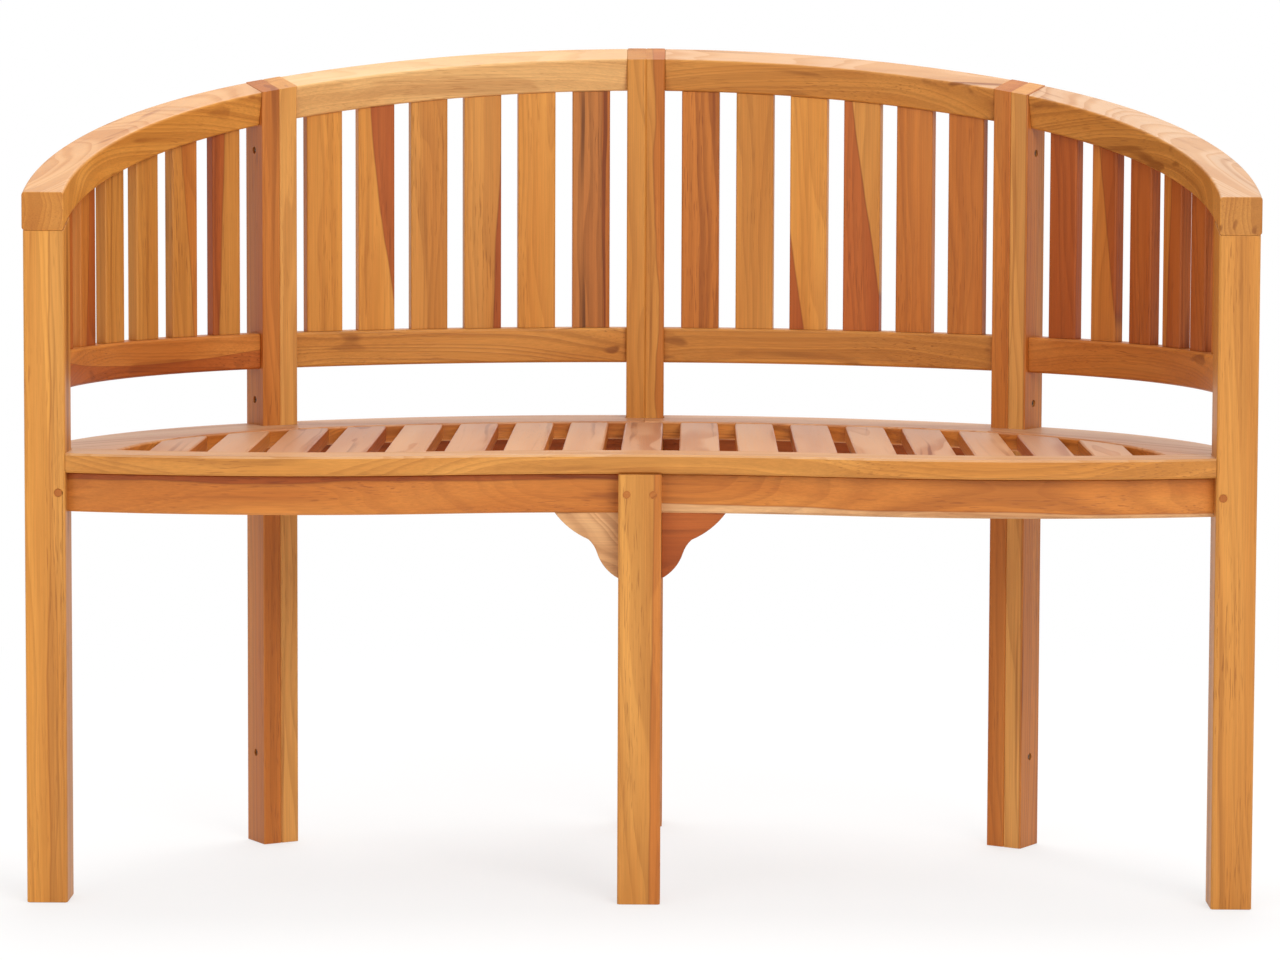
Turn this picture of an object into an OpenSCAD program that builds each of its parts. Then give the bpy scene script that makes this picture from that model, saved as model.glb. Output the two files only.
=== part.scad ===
// Curved-back patio bench in oiled hardwood, built from separate boards.
// Units are millimetres, +Z is up, +X runs along the bench and the front faces -Y.
// The origin is the centre of the footprint at floor level.

/* [Overall] */
// Width over the outer faces of the two arms
overall_w = 1200; // [1100:1:1300]
// Depth from the front leg faces to the front face of the centre rear post
back_depth = 438; // [420:1:460]
// Height of the arm at its front end
arm_top = 696; // [660:1:730]
// Upward slope of the arm and crest line toward the back, in degrees
rise_deg = 16.4; // [14:0.1:18]

/* [Arm and crest] */
// Width of the arm and crest board
arm_w = 41; // [36:1:46]
// Thickness of the arm and crest board
arm_t = 36; // [32:1:40]
// How far the arm and crest boards stand back from the rear post faces
crest_back = 1; // [0:0.5:4]

/* [Legs and posts] */
// Width of a front leg
leg_w = 40; // [36:1:44]
// Depth of a front leg
leg_d = 44; // [38:1:48]
// Distance of each corner post from the middle of the bench
post_x = 380; // [370:1:390]
// Thickness of each of the two boards that make a rear post
post_half_w = 20; // [18:1:22]
// Depth of a rear post
post_d = 40; // [36:1:44]
// Distance of the centre leg face behind the front leg faces
centre_leg_y = 8; // [4:1:12]

/* [Seat] */
// Height of the seat
seat_h = 442; // [420:1:460]
// Thickness of the seat rails
seat_rail_t = 19; // [17:1:22]
// Width of the curved rear and side seat rail
rear_rail_w = 84; // [78:1:88]
// Width of the curved front seat rail
front_rail_w = 50; // [45:1:56]
// Width of a seat slat
slat_w = 40; // [36:1:44]
// Gap between the outermost seat slat and the side rail
slat_end_gap = 31; // [25:1:37]
// Thickness of a seat slat
slat_t = 17; // [15:1:18]
// Height of the aprons under the seat
apron_h = 39; // [34:1:44]
// Thickness of the aprons
apron_t = 22; // [18:1:26]

/* [Back] */
// Height of the top of the lower back rail
low_rail_top = 538; // [525:1:550]
// Height of the lower back rail board
low_rail_h = 37; // [32:1:42]
// Thickness of the lower back rail
low_rail_t = 25; // [20:1:28]
// Width of a slat in the two back panels
back_slat_w = 40; // [36:1:42]
// Width of a slat in the two side panels
side_slat_w = 34; // [30:1:38]
// Thickness of a back slat
back_slat_t = 13; // [10:1:15]

/* [Details] */
// Size of the eased edges
ease = 2; // [1:0.5:3]
// Diameter of the wooden plugs
plug_d = 7.5; // [7:0.5:9]
// Diameter of the screw shanks
screw_d = 4; // [3:0.5:5]
// Clearance between a screw and its counterbore
screw_clearance = 0.5; // [0.2:0.1:1]

/* [Hidden] */
$fn = 180;
end_x = overall_w / 2 - arm_w;
// a length that passes the whole bench, for cuts
reach = overall_w;
// a small overlap that carries a cut through a face
over = 1;
seat_z = seat_h - seat_rail_t;
apron_z = seat_z - apron_h;
low_z = low_rail_top - low_rail_h;
post_w = 2 * post_half_w;
// plan of the post faces: one arc for the back, one tangent arc for each side
corner_sag = 109;
back_r = (post_x * post_x + corner_sag * corner_sag) / (2 * corner_sag);
back_cy = back_depth - back_r;
turn = asin(post_x / back_r);
corner_y = back_depth - corner_sag;
side_r = (end_x - post_x) / (1 - sin(turn));
side_cx = post_x - side_r * sin(turn);
side_cy = corner_y - side_r * cos(turn);
// the same two arcs drawn in the sloping plane of the arm and crest
crest_depth = (back_depth + crest_back) / cos(rise_deg);
crest_corner = (corner_y + crest_back) / cos(rise_deg);
crest_sag = crest_depth - crest_corner;
crest_r = (post_x * post_x + crest_sag * crest_sag) / (2 * crest_sag);
crest_cy = crest_depth - crest_r;
crest_turn = asin(post_x / crest_r);
arm_r = (end_x - post_x) / (1 - sin(crest_turn));
arm_cx = post_x - arm_r * sin(crest_turn);
arm_cy = crest_corner - arm_r * cos(crest_turn);
// front edge of the seat: a shallow hollow in the middle and a swell on each side
hollow_r = 861;
swell_r = 770;
swell_x = 0.3 * overall_w;
swell_y = -25;
swell_end = 22;
// the middle arc runs on by this angle at each end, so that it joins the swells
seam_a = 0.006;
bend_a = asin(swell_x / (hollow_r + swell_r));
hollow_y = swell_y + (swell_r + hollow_r) * (1 - cos(bend_a));
hollow_cy = hollow_y - hollow_r;
swell_cy = swell_y + swell_r;
leg_in = 1;
leg_x = end_x + arm_w - leg_w - leg_in;
centre_leg_w = leg_w + 2;
apron_in = 12;
low_in = 7;
slat_in = low_in + (low_rail_t - back_slat_t) / 2;
// six slats in each of the four back panels, spread evenly along their arcs
panel_slats = 6;
back_span = back_r * turn * PI / 180 - post_w;
back_gap = (back_span - panel_slats * back_slat_w) / (panel_slats + 1);
side_mid_r = side_r + slat_in;
side_arc = (90 - turn) * PI / 180 * side_mid_r;
side_end_gap = 4;
side_span = side_arc - leg_d + side_cy - side_end_gap - post_half_w;
side_gap = (side_span - panel_slats * side_slat_w) / (panel_slats + 0.5);
// seat slats, eight on each side of the middle one
slat_sides = 8;
slat_pitch = (end_x + post_d - rear_rail_w - slat_w / 2 - slat_end_gap) / slat_sides;
slat_drop = 1;
slat_fit = 0.5;
// depth of the whole footprint, used to centre the part on the origin
crest_tip = (crest_cy + sqrt(pow(crest_r + arm_w, 2) - pow(post_half_w, 2))) * cos(rise_deg)
    + (arm_t - ease) * sin(rise_deg);
mid_y = (swell_y + crest_tip) / 2;
plug_x = 13;
plug_z = apron_z + apron_h / 2;
plug_depth = 4;
plug_proud = 0.4;
head_d = plug_d - 1;
head_h = 3;
bore_d = head_d + 2 * screw_clearance;
bore_h = 5;
screw_l = 34;
slot_w = 1.2;
slot_l = 5.2;
// heights of the three screws in each rear post: near the foot, over the seat, under the crest
screw_foot = 95;
screw_over_seat = 26;
screw_under_crest = 26;
crest_low = arm_top + corner_y * tan(rise_deg) - arm_t / cos(rise_deg);
screw_z = [screw_foot, seat_h + screw_over_seat, crest_low - screw_under_crest];
// bracket beside the centre leg: reach along the apron and down the leg, the notch below its upper
// lobe, the waist above its lower one, and how far the edge leaves the chords between them
bracket_t = apron_t - 2;
bracket_w = 63;
bracket_h = 65;
notch_x = 29.6;
notch_under = 26.6;
waist_x = 21;
waist_under = 40;
upper_swell = 2.9;
waist_dip = 1.1;
lower_swell = 3.2;

// Board outline with eased edges
module board(w, h, e = ease) {
    polygon([[e, 0], [w - e, 0], [w, e], [w, h - e], [w - e, h], [e, h], [0, h - e], [0, e]]);
}

// Curved board: radius r inside, angles a0 to a1 measured from straight back
module bent(r, a0, a1, w, h) {
    rotate([0, 0, 90 - a1]) rotate_extrude(angle = a1 - a0) translate([r, 0]) board(w, h);
}

// Everything above the sloping plane that lies t under the arm top
module above(t) {
    translate([0, 0, arm_top]) rotate([rise_deg, 0, 0])
        translate([-reach, -reach / 2, -t]) cube([2 * reach, 2 * reach, reach]);
}

// Outline of a whole rear post on the right corner, drawn out in front by ahead
module corner_post_box(ahead = 0) {
    translate([post_x, corner_y, -over]) rotate([0, 0, -turn])
        translate([-post_half_w, -ahead, 0]) cube([post_w, ahead + post_d + arm_w / 2, reach]);
}

// Outline of the whole centre rear post, drawn out in front by ahead
module centre_post_box(ahead = 0) {
    translate([-post_half_w, back_depth - ahead, -over])
        cube([post_w, ahead + post_d + arm_w / 2, reach]);
}

// Places a child at the right corner post, in the frame of that post
module at_corner() {
    translate([post_x, corner_y, 0]) rotate([0, 0, -turn]) children();
}

// Screw holes through a pair of post boards, drilled from +X
module screw_holes() {
    for (z = screw_z) translate([post_half_w, post_d / 2, z]) rotate([0, -90, 0]) {
        translate([0, 0, -over]) cylinder(d = bore_d, h = bore_h + over, $fn = 32);
        cylinder(d = screw_d, h = screw_l, $fn = 24);
    }
}

// One post board, side -1 is toward the middle of the bench
module post_board(side) {
    difference() {
        translate([side < 0 ? -post_half_w : 0, 0, 0])
            linear_extrude(reach) board(post_half_w, post_d, ease * 0.6);
        screw_holes();
    }
}

// The three screws of one post, heads on +X
module post_screw_set() {
    for (z = screw_z) translate([post_half_w, post_d / 2, z]) rotate([0, -90, 0]) {
        translate([0, 0, bore_h - head_h]) difference() {
            cylinder(d = head_d, h = head_h, $fn = 32);
            for (a = [0, 90]) rotate([0, 0, a])
                translate([-slot_w / 2, -slot_l / 2, -over]) cube([slot_w, slot_l, over + slot_w]);
        }
        translate([0, 0, bore_h - over]) cylinder(d = screw_d, h = screw_l - bore_h + over, $fn = 24);
    }
}

// Corner post board, cut flush with the sloping top of the crest
module corner_board(side) {
    difference() {
        at_corner() post_board(side);
        above(0);
    }
}

// Sets a child on the right, or mirrored on the left when s is negative, centred on the footprint
module side(s) {
    translate([0, -mid_y, 0]) mirror([s < 0 ? 1 : 0, 0, 0]) children();
}

module front_leg() {
    difference() {
        translate([leg_x, 0, 0]) linear_extrude(arm_top + leg_d) board(leg_w, leg_d);
        above(arm_t);
        plug_hole([leg_x + leg_w / 2 - plug_x, 0, plug_z]);
    }
}

module plug_hole(p) {
    translate(p) rotate([-90, 0, 0]) translate([0, 0, -over])
        cylinder(d = plug_d, h = plug_depth + over, $fn = 32);
}

module plug(p) {
    translate(p) rotate([-90, 0, 0]) translate([0, 0, -plug_proud])
        cylinder(d = plug_d, h = plug_depth + plug_proud, $fn = 32);
}

module arm() {
    difference() {
        translate([0, 0, arm_top]) rotate([rise_deg, 0, 0]) translate([0, 0, -arm_t]) {
            translate([arm_cx, arm_cy, 0]) bent(arm_r, crest_turn, 90, arm_w, arm_t);
            translate([end_x, arm_cy + 0.01, 0]) rotate([90, 0, 0])
                linear_extrude(max(arm_cy, 0) + leg_d) board(arm_w, arm_t);
        }
        translate([end_x - arm_w, -reach, 0]) cube([3 * arm_w, reach, reach]);
        corner_post_box(post_half_w);
    }
}

module crest() {
    difference() {
        translate([0, 0, arm_top]) rotate([rise_deg, 0, 0]) translate([0, crest_cy, -arm_t])
            bent(crest_r, 0, crest_turn, arm_w, arm_t);
        corner_post_box(post_half_w);
        centre_post_box(post_half_w);
    }
}

// Strip along the side arc and straight on to the front, its inner face set back by i
module side_strip(i, w, z, h) {
    translate([side_cx, side_cy, z]) bent(side_r + i, turn, 90, w, h);
    translate([end_x + i, side_cy + 0.01, z]) rotate([90, 0, 0])
        linear_extrude(max(side_cy, 0) + leg_d) board(w, h);
}

module low_rail_side() {
    difference() {
        side_strip(low_in, low_rail_t, low_z, low_rail_h);
        corner_post_box();
        leg_box();
    }
}

module low_rail_back() {
    difference() {
        translate([0, back_cy, low_z]) bent(back_r + low_in, 0, turn, low_rail_t, low_rail_h);
        corner_post_box();
        centre_post_box();
    }
}

// Everything beside and in front of the back face of a front leg
module leg_box() {
    translate([leg_x - leg_w, -reach, 0]) cube([3 * leg_w, leg_d + reach, reach]);
}

// A slat of width w between the lower rail and the crest, centred on angle a
module back_slat(w, cx, cy, r, a) {
    difference() {
        translate([cx, cy, low_rail_top]) rotate([0, 0, -a])
            translate([-w / 2, r + slat_in, 0])
                linear_extrude(reach) board(w, back_slat_t, ease * 0.6);
        above(arm_t);
    }
}

// Slat i of a back panel, counted from the centre post
module back_panel_slat(i) {
    s = post_half_w + back_gap + back_slat_w / 2 + (i - 1) * (back_gap + back_slat_w);
    back_slat(back_slat_w, 0, back_cy, back_r, s / back_r * 180 / PI);
}

// Slat i of a side panel, counted from the corner post
module side_panel_slat(i) {
    s = post_half_w + side_gap + side_slat_w / 2 + (i - 1) * (side_gap + side_slat_w);
    back_slat(side_slat_w, side_cx, side_cy - max(s - side_arc, 0), side_r,
        turn + min(s, side_arc) / side_mid_r * 180 / PI);
}

// Hollow middle of a strip that follows the front edge of the seat, inset by i
module front_middle(i, w, z, h) {
    translate([0, hollow_cy, z]) rotate([0, 0, 90 - bend_a - seam_a])
        rotate_extrude(angle = 2 * (bend_a + seam_a)) translate([hollow_r + i, 0]) board(w, h);
}

// Right-hand swell of a strip that follows the front edge of the seat, inset by i
module front_swell(i, w, z, h) {
    translate([swell_x, swell_cy, z]) rotate([0, 0, -90 - bend_a])
        rotate_extrude(angle = bend_a + swell_end) translate([swell_r - i - w, 0]) board(w, h);
}

// Everything outward of the inner face of a front leg
module front_cut() {
    translate([leg_x, -reach / 2, -over]) cube([reach, reach, reach]);
}

module seat_front_rail() {
    difference() {
        union() {
            front_middle(0, front_rail_w, seat_z, seat_rail_t);
            front_swell(0, front_rail_w, seat_z, seat_rail_t);
            mirror([1, 0, 0]) front_swell(0, front_rail_w, seat_z, seat_rail_t);
        }
        front_cut();
        mirror([1, 0, 0]) front_cut();
    }
}

// Plan region in front of the rear edge of the front rail, used to trim other seat parts
module front_region(h) {
    for (s = [0, 1]) mirror([s, 0, 0]) linear_extrude(h) {
        translate([0, hollow_cy]) intersection() {
            circle(r = hollow_r + front_rail_w, $fn = 360);
            polygon([[-leg_w, 0], [0, 0], [reach * tan(bend_a + 1), reach], [-leg_w, reach]]);
        }
        translate([swell_x, swell_cy]) difference() {
            polygon([[0, 0], [-reach * sin(bend_a), -reach * cos(bend_a)],
                [reach * sin(swell_end), -reach * cos(swell_end)]]);
            circle(r = swell_r - front_rail_w, $fn = 360);
        }
    }
}

module seat_back_rail() {
    difference() {
        translate([0, back_cy, seat_z])
            bent(back_r + post_d - rear_rail_w, 0, turn, rear_rail_w, seat_rail_t);
        corner_post_box();
        centre_post_box();
    }
}

module seat_side_rail() {
    difference() {
        side_strip(post_d - rear_rail_w, rear_rail_w, seat_z, seat_rail_t);
        corner_post_box();
        leg_box_low();
        translate([0, 0, seat_z - over]) front_region(seat_rail_t + 2 * over);
    }
}

// Room taken by a front leg, open toward the front and outward
module leg_box_low() {
    translate([leg_x, -reach, -over]) cube([2 * leg_w, leg_d + reach, reach]);
}

// Plan region inside the rear and side rails
module inner_region(h) {
    linear_extrude(h) for (s = [0, 1]) mirror([s, 0, 0]) {
        intersection() {
            translate([0, back_cy]) circle(r = back_r + post_d - rear_rail_w, $fn = 360);
            translate([0, back_cy])
                polygon([[-leg_w, 0], [-leg_w, reach], [reach * tan(turn), reach], [0, 0]]);
        }
        translate([side_cx, side_cy]) circle(r = side_r + post_d - rear_rail_w, $fn = 360);
    }
}

module seat_slats() {
    for (i = [-slat_sides:slat_sides]) difference() {
        intersection() {
            translate([i * slat_pitch - slat_w / 2, -reach / 4, seat_h - slat_drop])
                rotate([-90, 0, 0]) linear_extrude(reach) board(slat_w, slat_t, ease * 0.75);
            translate([0, 0, seat_z - slat_t]) inner_region(3 * slat_t);
        }
        translate([0, 0, seat_z - slat_t]) front_region(3 * slat_t);
    }
}

// Everything left of the right side face of the centre leg
module centre_leg_box() {
    translate([-reach, -reach / 2, apron_z - over])
        cube([reach + centre_leg_w / 2, reach, apron_h + 2 * over]);
}

module front_apron() {
    difference() {
        union() {
            front_middle(apron_in, apron_t, apron_z, apron_h);
            front_swell(apron_in, apron_t, apron_z, apron_h);
        }
        front_cut();
        centre_leg_box();
    }
}

module side_apron() {
    difference() {
        side_strip(apron_in / 2, apron_t, apron_z, apron_h);
        corner_post_box();
        leg_box();
    }
}

module rear_apron() {
    difference() {
        translate([0, back_cy, apron_z]) bent(back_r + apron_in / 2, 0, turn, apron_t, apron_h);
        corner_post_box();
        centre_post_box();
    }
}

module front_leg_centre() {
    difference() {
        translate([-centre_leg_w / 2, centre_leg_y, 0])
            linear_extrude(seat_z) board(centre_leg_w, leg_d);
        for (x = [-plug_x, plug_x]) plug_hole([x, centre_leg_y, plug_z]);
    }
}

// Bearer from the centre leg to the centre rear post, stepped down under the two rails
module centre_bearer() {
    y0 = centre_leg_y + leg_d;
    y1 = front_rail_w + hollow_y + slat_fit;
    y2 = back_depth + post_d - rear_rail_w - slat_fit;
    top = seat_h - slat_drop - slat_t - apron_z;
    translate([-apron_t / 2, 0, apron_z]) rotate([90, 0, 90]) linear_extrude(apron_t)
        polygon([[y0, 0], [back_depth, 0], [back_depth, apron_h], [y2, apron_h], [y2, top],
            [y1, top], [y1, apron_h], [y0, apron_h]]);
}

// Points along an arc from p to q that swells out to the right of its chord, without q itself
function lobe(p, q, swell, n) = let (
        chord = norm(q - p),
        r = (chord * chord / 4 + swell * swell) / (2 * swell),
        half = asin(chord / (2 * r)),
        along = (q - p) / chord,
        out = [-along[1], along[0]],
        centre = (p + q) / 2 + out * (swell - r))
    [for (i = [0:n - 1]) let (a = half * (2 * i / n - 1)) centre + r * (out * cos(a) + along * sin(a))];

// Scrolled bracket beside the centre leg, right side: two lobes with a notch and a waist between
module bracket() {
    tip = [bracket_w, 0];
    notch = [notch_x, -notch_under];
    waist = [waist_x, -waist_under];
    foot = [0, -bracket_h];
    translate([centre_leg_w / 2, hollow_y + apron_in + bracket_t + 1, apron_z]) rotate([90, 0, 0])
        linear_extrude(bracket_t)
            polygon(concat([[0, 0]], lobe(tip, notch, upper_swell, 8),
                lobe(notch, waist, -waist_dip, 4), lobe(waist, foot, lower_swell, 8), [foot]));
}

// Centre post board, cut flush with the sloping top of the crest
module centre_board(side) {
    difference() {
        translate([0, back_depth, 0]) post_board(side);
        above(0);
    }
}

module leg_plugs() {
    for (s = [0, 1]) mirror([s, 0, 0]) {
        plug([leg_x + leg_w / 2 - plug_x, 0, plug_z]);
        plug([plug_x, centre_leg_y, plug_z]);
    }
}

module post_screws() {
    for (s = [0, 1]) mirror([s, 0, 0]) at_corner() post_screw_set();
    translate([0, back_depth, 0]) post_screw_set();
}

// Colours
golden = [0.80, 0.52, 0.28];
pale = [0.83, 0.60, 0.38];
red = [0.70, 0.38, 0.20];
steel = [0.45, 0.43, 0.40];

color(golden) side(-1) front_leg();  // front_leg_left
color(golden) side(1) front_leg();  // front_leg_right
color(golden) side(1) front_leg_centre();
color(red) side(-1) corner_board(1);  // rear_post_left_outer
color(golden) side(-1) corner_board(-1);  // rear_post_left_inner
color(golden) side(1) centre_board(-1);  // rear_post_centre_left
color(red) side(1) centre_board(1);  // rear_post_centre_right
color(golden) side(1) corner_board(-1);  // rear_post_right_inner
color(red) side(1) corner_board(1);  // rear_post_right_outer
color(pale) side(-1) arm();  // arm_left
color(pale) side(1) arm();  // arm_right
color(pale) side(-1) crest();  // crest_left
color(golden) side(1) crest();  // crest_right
color(red) side(-1) low_rail_side();  // low_rail_side_left
color(golden) side(-1) low_rail_back();  // low_rail_back_left
color(golden) side(1) low_rail_back();  // low_rail_back_right
color(red) side(1) low_rail_side();  // low_rail_side_right
color(golden) side(-1) side_panel_slat(1);  // side_slat_left_1
color(golden) side(-1) side_panel_slat(2);  // side_slat_left_2
color(golden) side(-1) side_panel_slat(3);  // side_slat_left_3
color(golden) side(-1) side_panel_slat(4);  // side_slat_left_4
color(golden) side(-1) side_panel_slat(5);  // side_slat_left_5
color(golden) side(-1) side_panel_slat(6);  // side_slat_left_6
color(golden) side(-1) back_panel_slat(1);  // back_slat_left_1
color(golden) side(-1) back_panel_slat(2);  // back_slat_left_2
color(golden) side(-1) back_panel_slat(3);  // back_slat_left_3
color(golden) side(-1) back_panel_slat(4);  // back_slat_left_4
color(golden) side(-1) back_panel_slat(5);  // back_slat_left_5
color(golden) side(-1) back_panel_slat(6);  // back_slat_left_6
color(golden) side(1) back_panel_slat(1);  // back_slat_right_1
color(golden) side(1) back_panel_slat(2);  // back_slat_right_2
color(golden) side(1) back_panel_slat(3);  // back_slat_right_3
color(golden) side(1) back_panel_slat(4);  // back_slat_right_4
color(golden) side(1) back_panel_slat(5);  // back_slat_right_5
color(golden) side(1) back_panel_slat(6);  // back_slat_right_6
color(red) side(1) side_panel_slat(1);  // side_slat_right_1
color(red) side(1) side_panel_slat(2);  // side_slat_right_2
color(red) side(1) side_panel_slat(3);  // side_slat_right_3
color(red) side(1) side_panel_slat(4);  // side_slat_right_4
color(red) side(1) side_panel_slat(5);  // side_slat_right_5
color(red) side(1) side_panel_slat(6);  // side_slat_right_6
color(golden) side(1) seat_front_rail();
color(pale) side(-1) seat_back_rail();  // seat_back_rail_left
color(pale) side(1) seat_back_rail();  // seat_back_rail_right
color(pale) side(-1) seat_side_rail();  // seat_side_rail_left
color(pale) side(1) seat_side_rail();  // seat_side_rail_right
color(pale) side(1) seat_slats();
color(golden) side(-1) front_apron();  // front_apron_left
color(golden) side(1) front_apron();  // front_apron_right
color(red) side(-1) side_apron();  // side_apron_left
color(red) side(1) side_apron();  // side_apron_right
color(red) side(-1) rear_apron();  // rear_apron_left
color(red) side(1) rear_apron();  // rear_apron_right
color(red) side(1) centre_bearer();
color(golden) side(-1) bracket();  // bracket_left
color(red) side(1) bracket();  // bracket_right
color(red) side(1) leg_plugs();
color(steel) side(1) post_screws();
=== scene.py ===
"""Wood finishes, pale studio floor, light and camera for a curved-back hardwood bench.

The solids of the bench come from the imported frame. This script rounds their edges for
the picture, gives every board its own oiled wood, and sets the floor, lamps and camera.
"""

import enum
import logging
import math
from dataclasses import dataclass
from typing import Any, Optional, Sequence, Union

import bpy
from mathutils import Matrix, Vector


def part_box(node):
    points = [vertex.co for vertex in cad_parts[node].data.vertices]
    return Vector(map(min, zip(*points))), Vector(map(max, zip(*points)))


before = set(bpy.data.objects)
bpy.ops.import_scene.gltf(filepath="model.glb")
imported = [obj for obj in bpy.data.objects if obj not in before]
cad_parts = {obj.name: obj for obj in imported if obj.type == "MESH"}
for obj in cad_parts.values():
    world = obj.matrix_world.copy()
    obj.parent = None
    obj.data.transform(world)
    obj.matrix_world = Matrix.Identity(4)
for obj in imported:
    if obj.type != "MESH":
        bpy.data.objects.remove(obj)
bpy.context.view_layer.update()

LOG = logging.getLogger("bench")

Socket = bpy.types.NodeSocket
Value = Union[float, Sequence[float], Socket]
Colour = tuple[float, float, float, float]

WHITE: Colour = (1.0, 1.0, 1.0, 1.0)
ALONG_BENCH = Vector((1.0, 0.0, 0.0))
TO_BACK = Vector((0.0, 1.0, 0.0))
UP = Vector((0.0, 0.0, 1.0))


def paint(red: int, green: int, blue: int) -> Colour:
    """Turns a colour as it is seen on a screen into the linear one that a shader takes.

    Args:
        red: Red, 0 to 255.
        green: Green, 0 to 255.
        blue: Blue, 0 to 255.

    Returns:
        The linear colour with full alpha.
    """
    shares = [part / 255 for part in (red, green, blue)]
    # The two pieces of the curve that the sRGB standard sets.
    linear = [s / 12.92 if s <= 0.04045 else ((s + 0.055) / 1.055) ** 2.4 for s in shares]
    return (*linear, 1.0)


@dataclass(frozen=True)
class ToneSet:
    """The three colours of one kind of board.

    Attributes:
        light: Colour of the early wood.
        body: Colour of most of the board.
        dark: Colour of late wood, streaks and open end grain.
    """

    light: Colour
    body: Colour
    dark: Colour


class Tone(enum.Enum):
    """The kinds of board that the bench is made of."""

    # The left crest's pale wood, lifted further to make up for the weaker light on its
    # down-tilted front: partly painted light.
    BRIGHTENED_STRAW = ToneSet(paint(234, 188, 124), paint(222, 170, 106), paint(172, 114, 62))
    WHEAT = ToneSet(paint(228, 170, 96), paint(212, 149, 76), paint(158, 94, 42))
    GOLDEN = ToneSet(paint(224, 158, 76), paint(206, 136, 57), paint(152, 84, 32))
    AMBER = ToneSet(paint(212, 148, 72), paint(193, 125, 54), paint(132, 74, 29))
    HONEY = ToneSet(paint(206, 131, 59), paint(186, 108, 43), paint(126, 62, 24))
    RUSSET = ToneSet(paint(186, 102, 44), paint(162, 79, 30), paint(100, 42, 15))
    UMBER = ToneSet(paint(200, 134, 70), paint(180, 110, 53), paint(104, 58, 27))
    PALE = ToneSet(paint(217, 168, 118), paint(203, 149, 99), paint(156, 100, 60))


class Grain(enum.Enum):
    """Which way the fibres of a board run and how its width lies."""

    UPRIGHT = "upright, with the widest face as its width"
    POST = "upright, with the front face as its width"
    CHORD = "from one end of a bent board to the other"
    RAIL = "along the bench, with the width to the back"
    FACE = "along the bench, with the width upright"
    DEPTH = "front to back, with the width upright"
    SLATS = "front to back, with the width along the bench"


@dataclass(frozen=True)
class Border:
    """Where heartwood of a second colour meets the rest of a board.

    Attributes:
        tone: Colours of the heartwood.
        place: Distance of the border from the middle of the board, in metres.
        lean: How far the border moves across for each metre along the board.
        side: 1 puts the heartwood on the far side of the border, -1 on the near side.
        wander: How far the border strays, in metres.
        tilt: How far the border moves across for each metre through the board.
    """

    tone: Tone
    place: float = 0.0
    lean: float = 0.0
    side: float = 1.0
    wander: float = 0.004
    tilt: float = 0.0


# A border that lies outside every board. A row of slats still takes its second colour from it.
NO_BORDER = Border(Tone.RUSSET, 1.0)


class NodeSheet:
    """Short calls that add nodes to one node tree and link them."""

    COLUMN, ROW, ROWS = 180, -160, 4

    def __init__(self, tree: bpy.types.NodeTree) -> None:
        """Works on a tree, which gets the nodes."""
        self.tree = tree
        self.count = 0

    def add(self, kind: str, settings: Optional[dict[str, Any]] = None,
            inputs: Optional[dict[Union[str, int], Value]] = None) -> bpy.types.Node:
        """Adds a node.

        Args:
            kind: Blender's name for the type of node.
            settings: Values of the node's own properties.
            inputs: Values or links for its input sockets, by name or index.

        Returns:
            The new node.
        """
        node = self.tree.nodes.new(kind)
        node.location = (self.COLUMN * self.count, self.ROW * (self.count % self.ROWS))
        self.count += 1
        for name, value in (settings or {}).items():
            setattr(node, name, value)
        for key, value in (inputs or {}).items():
            self.feed(node.inputs[key], value)
        return node

    def feed(self, socket: Socket, value: Value) -> None:
        """Links a socket, or sets its own value.

        Args:
            socket: The input socket.
            value: The output that it is linked to, or its value.
        """
        if isinstance(value, bpy.types.NodeSocket):
            self.tree.links.new(value, socket)
        else:
            socket.default_value = value

    def math(self, operation: str, *values: Value, clamp: bool = False) -> Socket:
        """Returns the result of a Math node, kept from 0 to 1 if clamp is set."""
        return self.add("ShaderNodeMath", {"operation": operation, "use_clamp": clamp},
                        dict(enumerate(values))).outputs[0]

    def times(self, first: Value, second: Value) -> Socket:
        """Returns the product of two values."""
        return self.math("MULTIPLY", first, second)

    def scaled(self, value: Value, factor: Value, base: Value, clamp: bool = False) -> Socket:
        """Returns a value times a factor plus a base, kept from 0 to 1 if clamp is set."""
        return self.math("MULTIPLY_ADD", value, factor, base, clamp=clamp)

    def total(self, base: Value, masks: dict[str, Socket], shares: dict[str, float],
              clamp: bool = False) -> Socket:
        """Adds a share of each mask to a value.

        Args:
            base: The value to start from.
            masks: The masks, by name.
            shares: The share of each mask that is added, by the mask's name.
            clamp: Keeps the result from 0 to 1.

        Returns:
            The sum.
        """
        for name, share in shares.items():
            base = self.scaled(masks[name], share, base, clamp)
        return base

    def vector(self, operation: str, *vectors: Value) -> Socket:
        """Returns the result of a Vector Math node whose result is a vector."""
        return self.add("ShaderNodeVectorMath", {"operation": operation},
                        dict(enumerate(vectors))).outputs["Vector"]

    def split(self, vector: Value) -> tuple[Socket, ...]:
        """Returns the three parts of a vector."""
        return tuple(self.add("ShaderNodeSeparateXYZ", None, {0: vector}).outputs)

    def join(self, *parts: Value) -> Socket:
        """Returns a vector made of three values."""
        return self.add("ShaderNodeCombineXYZ", None, dict(enumerate(parts))).outputs[0]

    def ramp(self, value: Value, low: float, high: float, to_low: float = 0.0,
             to_high: float = 1.0) -> Socket:
        """Returns a value mapped by a smooth step, from low to high onto to_low to to_high."""
        return self.add("ShaderNodeMapRange", {"interpolation_type": "SMOOTHSTEP"},
                        dict(enumerate((value, low, high, to_low, to_high)))).outputs[0]

    def mix(self, share: Value, first: Value, second: Value) -> Socket:
        """Returns a mix of two colours with a share of the second one."""
        # Sockets 0, 6 and 7 of the node, and its third result, are those that mix colours.
        return self.add("ShaderNodeMix", {"data_type": "RGBA"},
                        {0: share, 6: first, 7: second}).outputs[2]


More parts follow.
